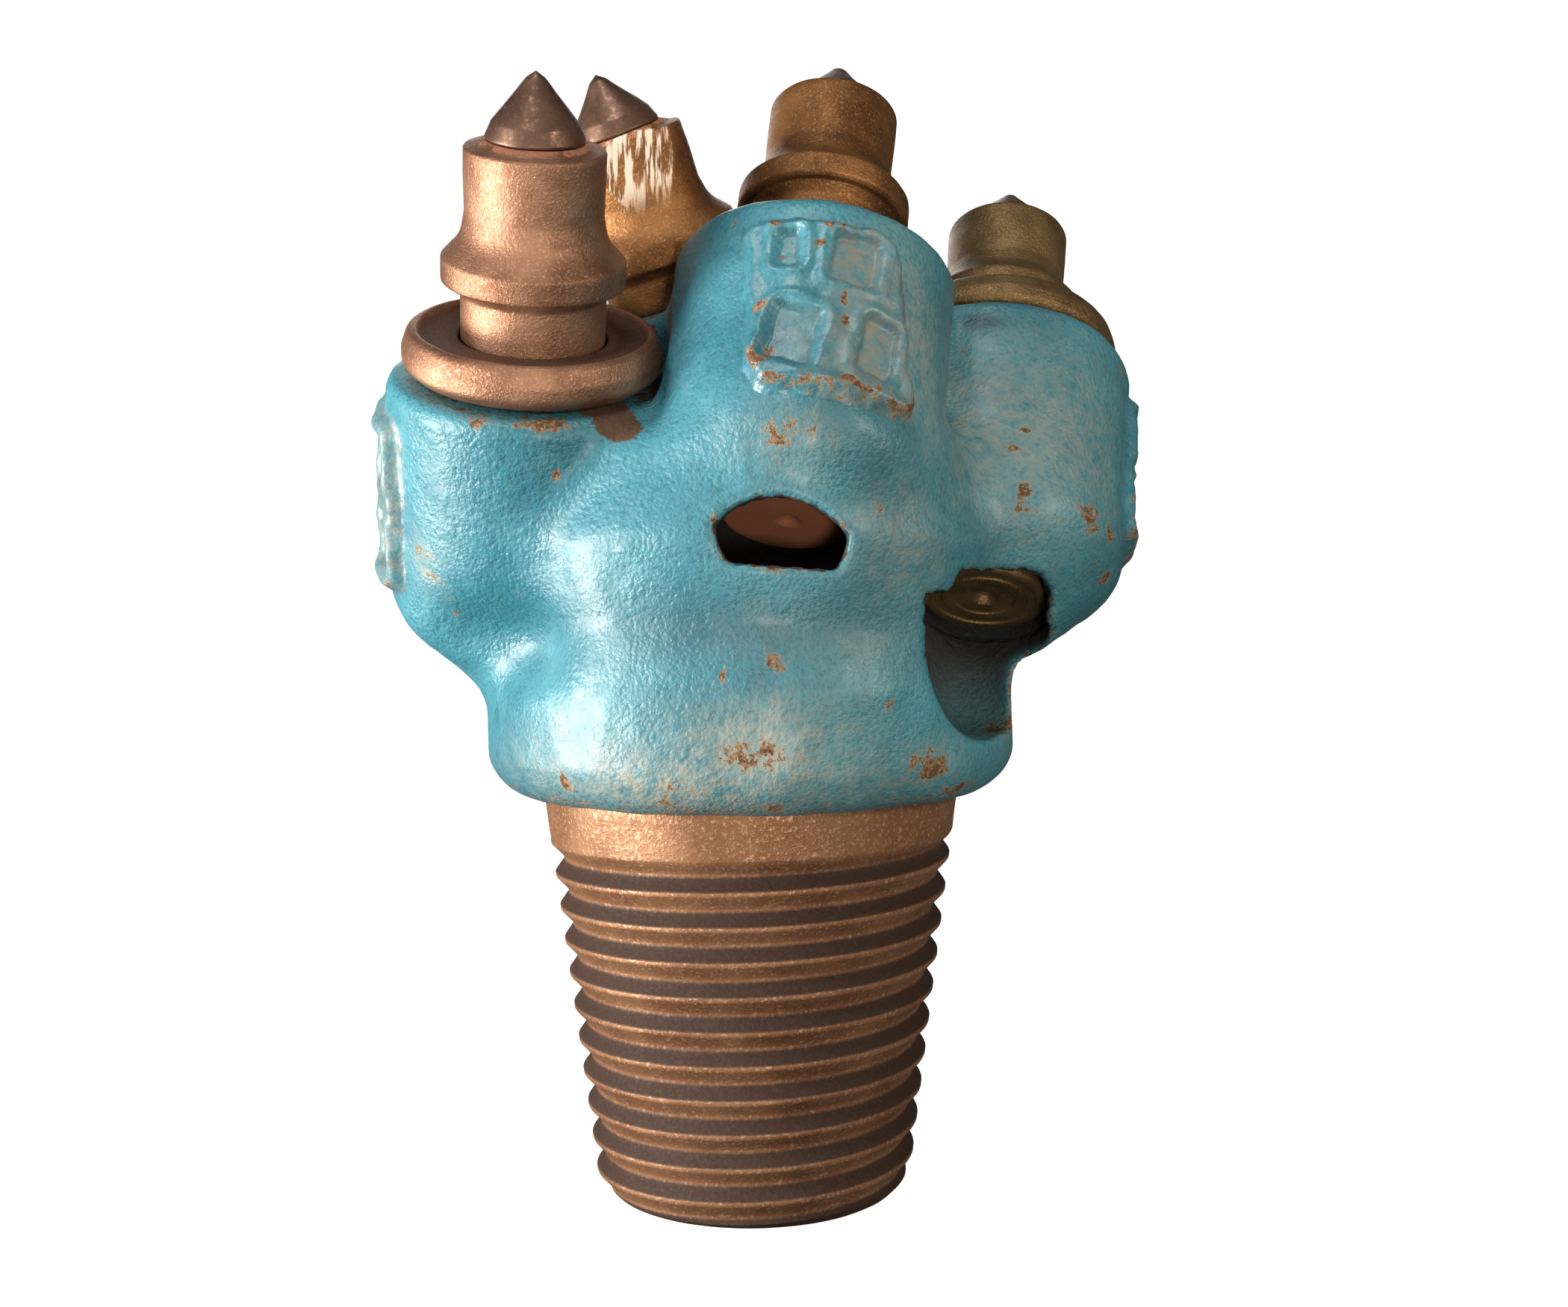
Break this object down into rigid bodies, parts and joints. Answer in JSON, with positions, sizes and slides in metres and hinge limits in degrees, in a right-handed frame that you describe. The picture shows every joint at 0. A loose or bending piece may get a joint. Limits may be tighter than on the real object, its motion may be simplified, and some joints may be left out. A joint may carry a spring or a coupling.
{
  "type": "auger pilot bit",
  "caption": "Cast pilot bit for an earth auger: conical carbide picks that turn in sleeved bores around a painted head, on a tapered threaded pin.",
  "frame": {"origin": "on the pin's axis, in the plane of the make-up shoulder under the head", "axes": "+Z along the pin's axis from the pin toward the picks, -Y toward the side with the flat-floored knock-out window that the picture shows, +X to that view's right"},
  "size_m": [0.1244, 0.089, 0.1826],
  "materials": {
    "teal_paint": "gloss, worn",
    "weld_paint": "gloss, chipped",
    "pin_steel": "satin, browned",
    "pick_steel": "satin, blasted",
    "tip_carbide": "satin",
    "wear_carbide": "satin",
    "spring_steel": "satin"
  },
  "bodies": {
    "head": {"pilot_casting": "teal_paint", "threaded_pin": "pin_steel", "left_hardfacing_pad": "weld_paint", "left_wear_plates": "wear_carbide", "right_hardfacing_pad": "weld_paint", "right_wear_plates": "wear_carbide", "front_hardfacing_pad": "weld_paint", "front_wear_plates": "wear_carbide", "rear_hardfacing_pad": "weld_paint", "rear_wear_plates": "wear_carbide"},
    "left_sleeve": {"left_retaining_sleeve": "spring_steel"},
    "left_pick": {"left_pick_body": "pick_steel", "left_carbide_tip": "tip_carbide"},
    "left_washer": {"left_wear_washer": "pick_steel"},
    "right_sleeve": {"right_retaining_sleeve": "spring_steel"},
    "right_pick": {"right_pick_body": "pick_steel", "right_carbide_tip": "tip_carbide"},
    "right_washer": {"right_wear_washer": "pick_steel"},
    "front_sleeve": {"front_retaining_sleeve": "spring_steel"},
    "front_pick": {"front_pick_body": "pick_steel", "front_carbide_tip": "tip_carbide"},
    "rear_sleeve": {"rear_retaining_sleeve": "spring_steel"},
    "rear_pick": {"rear_pick_body": "pick_steel", "rear_carbide_tip": "tip_carbide"}
  },
  "joints": [
    {"name": "left_pick_travel", "type": "slide", "parent": "head", "child": "left_sleeve", "axis": [0.0733, -0.4114, 0.9085], "range_m": [-0.006, 0.0097]},
    {"name": "left_pick_spin", "type": "hinge", "parent": "left_sleeve", "child": "left_pick", "pos_m": [-0.0325, -0.0171, 0.0666], "axis": [0.0733, -0.4114, 0.9085], "continuous": true},
    {"name": "left_washer_spin", "type": "hinge", "parent": "head", "child": "left_washer", "pos_m": [-0.0325, -0.0171, 0.0666], "axis": [0.0733, -0.4114, 0.9085], "continuous": true},
    {"name": "right_pick_travel", "type": "slide", "parent": "head", "child": "right_sleeve", "axis": [0.1214, 0.4835, 0.8669], "range_m": [-0.0007, 0.015]},
    {"name": "right_pick_spin", "type": "hinge", "parent": "right_sleeve", "child": "right_pick", "pos_m": [0.0427, 0.0151, 0.0691], "axis": [0.1214, 0.4835, 0.8669], "continuous": true},
    {"name": "right_washer_spin", "type": "hinge", "parent": "head", "child": "right_washer", "pos_m": [0.0427, 0.0151, 0.0691], "axis": [0.1214, 0.4835, 0.8669], "continuous": true},
    {"name": "front_pick_travel", "type": "slide", "parent": "head", "child": "front_sleeve", "axis": [0.119, 0.4121, 0.9033], "range_m": [-0.0092, 0.0065]},
    {"name": "front_pick_spin", "type": "hinge", "parent": "front_sleeve", "child": "front_pick", "pos_m": [0.0109, -0.008, 0.0824], "axis": [0.119, 0.4121, 0.9033], "continuous": true},
    {"name": "rear_pick_travel", "type": "slide", "parent": "head", "child": "rear_sleeve", "axis": [-0.3198, -0.3067, 0.8965], "range_m": [-0.0058, 0.0099]},
    {"name": "rear_pick_spin", "type": "hinge", "parent": "rear_sleeve", "child": "rear_pick", "pos_m": [-0.0119, 0.0089, 0.0824], "axis": [-0.3198, -0.3067, 0.8965], "continuous": true}
  ]
}
